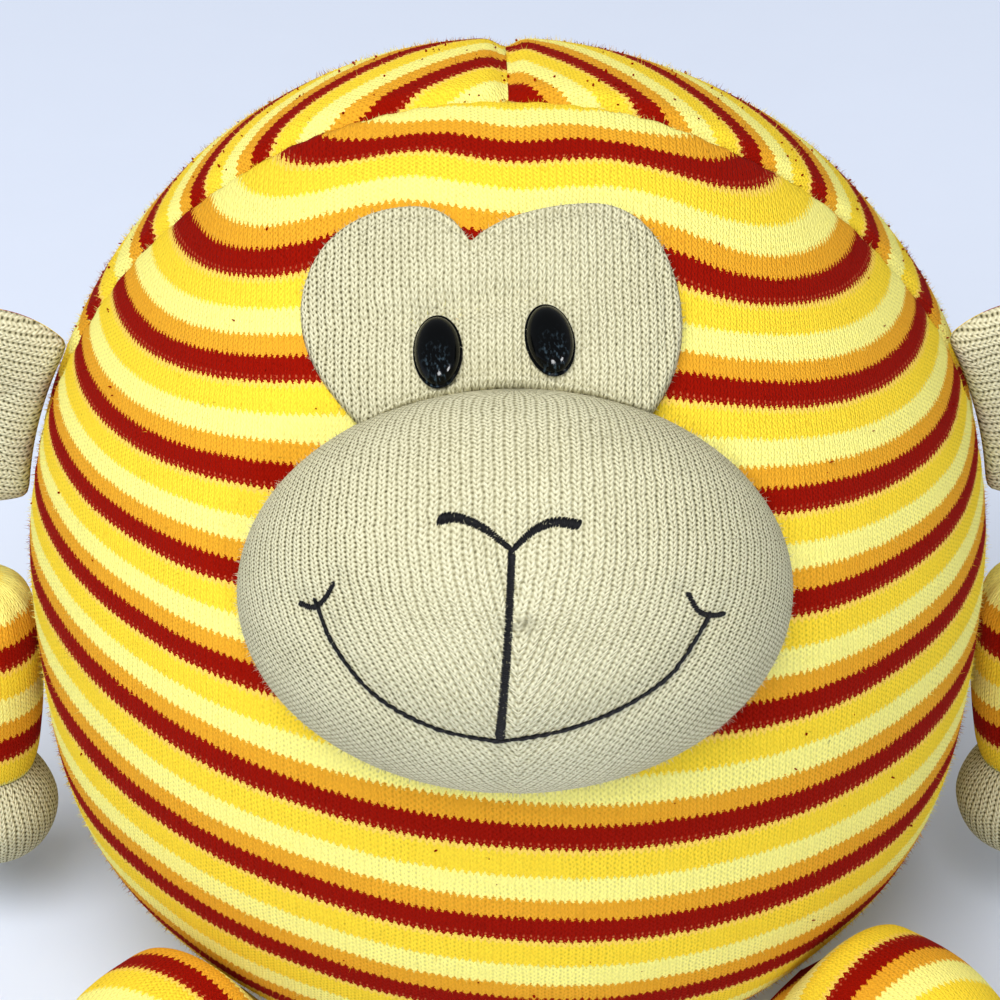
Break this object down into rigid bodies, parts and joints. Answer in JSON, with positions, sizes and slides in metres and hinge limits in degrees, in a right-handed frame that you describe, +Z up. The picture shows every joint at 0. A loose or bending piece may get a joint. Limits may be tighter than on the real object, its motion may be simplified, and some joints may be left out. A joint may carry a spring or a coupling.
{
  "type": "plush monkey",
  "caption": "Round stuffed toy monkey in striped knit: a ball for head and body, with a padded muzzle, safety eyes, floppy ears, arms, legs and a tail.",
  "frame": {"origin": "middle of the flat seat, on the floor that the toy sits on", "axes": "+Z up, the face towards -Y, the toy's left limbs named as the viewer sees them, on -X"},
  "size_m": [0.335, 0.3826, 0.253],
  "materials": {
    "striped_knit": "fuzzy jersey knit in red, bright yellow, pale yellow and orange stripes",
    "beige_knit": "fuzzy jersey knit",
    "stuffing": "loose polyester fibre",
    "eye_plastic": "glossy, a little dusty",
    "washer_plastic": "moulded",
    "embroidery_thread": "satin stitch"
  },
  "bodies": {
    "body": {"front_panel": "striped_knit", "back_panel_left": "striped_knit", "back_panel_right": "striped_knit", "base_panel": "striped_knit", "body_stuffing": "stuffing", "brow_patch": "beige_knit", "muzzle_cover": "beige_knit", "muzzle_stuffing": "stuffing", "eye_left": "eye_plastic", "eye_right": "eye_plastic", "eye_washer_left": "washer_plastic", "eye_washer_right": "washer_plastic", "nose_stitch": "embroidery_thread", "nostril_stitch_left": "embroidery_thread", "nostril_stitch_right": "embroidery_thread", "smile_stitch_left": "embroidery_thread", "smile_stitch_right": "embroidery_thread"},
    "ear_left": {"ear_front_left": "beige_knit", "ear_back_left": "striped_knit"},
    "arm_left": {"arm_cover_left": "striped_knit", "arm_stuffing_left": "stuffing", "hand_left": "beige_knit"},
    "leg_left": {"leg_cover_left": "striped_knit", "leg_stuffing_left": "stuffing", "foot_left": "beige_knit"},
    "ear_right": {"ear_front_right": "beige_knit", "ear_back_right": "striped_knit"},
    "arm_right": {"arm_cover_right": "striped_knit", "arm_stuffing_right": "stuffing", "hand_right": "beige_knit"},
    "leg_right": {"leg_cover_right": "striped_knit", "leg_stuffing_right": "stuffing", "foot_right": "beige_knit"},
    "tail": {"tail_cover": "striped_knit", "tail_stuffing": "stuffing"}
  },
  "joints": [
    {"name": "ear_left_flop", "type": "hinge", "parent": "body", "child": "ear_left", "pos_m": [-0.12584, 0, 0.15842], "axis": [-0.2659, 0, -0.964], "range_deg": [-25, 25], "stiffness_Nm_per_rad": 0.02},
    {"name": "arm_left_swing", "type": "hinge", "parent": "body", "child": "arm_left", "pos_m": [-0.14366, 0, 0.093], "axis": [-1, 0, 0], "range_deg": [-60, 100]},
    {"name": "leg_left_fold", "type": "hinge", "parent": "body", "child": "leg_left", "pos_m": [-0.07219, -0.08018, 0.029], "axis": [0.7431, -0.6691, 0], "range_deg": [0, 75]},
    {"name": "ear_right_flop", "type": "hinge", "parent": "body", "child": "ear_right", "pos_m": [0.12584, 0, 0.15842], "axis": [-0.2659, 0, 0.964], "range_deg": [-25, 25], "stiffness_Nm_per_rad": 0.02},
    {"name": "arm_right_swing", "type": "hinge", "parent": "body", "child": "arm_right", "pos_m": [0.14366, 0, 0.093], "axis": [-1, 0, 0], "range_deg": [-60, 100]},
    {"name": "leg_right_fold", "type": "hinge", "parent": "body", "child": "leg_right", "pos_m": [0.07761, -0.07495, 0.029], "axis": [0.6947, 0.7193, 0], "range_deg": [0, 75]},
    {"name": "tail_swing", "type": "hinge", "parent": "body", "child": "tail", "pos_m": [0, 0.08882, 0.012], "axis": [-1, 0, 0], "range_deg": [-10, 70]}
  ]
}
